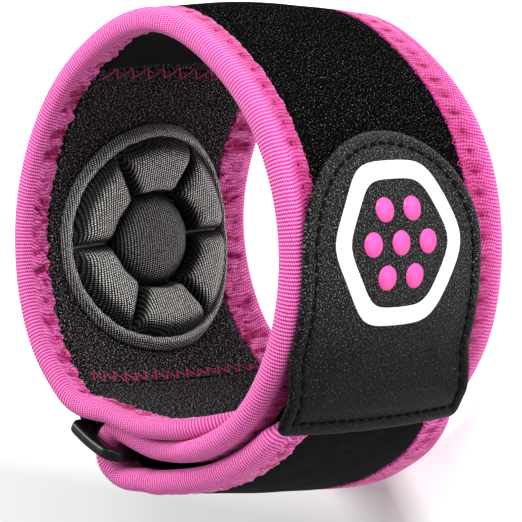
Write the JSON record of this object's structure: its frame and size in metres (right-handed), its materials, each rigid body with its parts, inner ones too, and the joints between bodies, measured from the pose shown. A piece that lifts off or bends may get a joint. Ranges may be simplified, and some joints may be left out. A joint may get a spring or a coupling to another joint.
{
  "type": "tennis elbow strap",
  "caption": "Bound neoprene forearm strap with a quilted pressure pad inside, a curved ring buckle and a stitched leather closing tab, fastened in its loop.",
  "frame": {"origin": "on the surface that the loop's far rim rests on, under the middle of the strap's outline", "axes": "+Z along the loop's axis, away from the rim it rests on; +X towards the side with the leather tab, +Y away from the buckle side"},
  "size_m": [0.1024, 0.111, 0.065],
  "materials": {
    "pile": "brushed loop pile, matt",
    "binding": "ribbed stretch tape, soft sheen",
    "fleece": "short fleece, matt",
    "pad_knit": "fine mesh knit over padding",
    "buckle_plastic": "satin moulded plastic",
    "webbing": "woven nylon, matt",
    "tab_leather": "fine grained, satin"
  },
  "bodies": {
    "root": {"band_body": "pile", "edge_binding": "binding", "fleece_panel": "fleece", "pad_base": "pad_knit", "pad_petal_1": "pad_knit", "pad_petal_2": "pad_knit", "pad_petal_3": "pad_knit", "pad_petal_4": "pad_knit", "pad_petal_5": "pad_knit", "pad_petal_6": "pad_knit", "pad_dome": "pad_knit", "buckle": "buckle_plastic", "buckle_keeper": "webbing", "leather_tab": "tab_leather", "hook_patch": "webbing"}
  },
  "joints": []
}
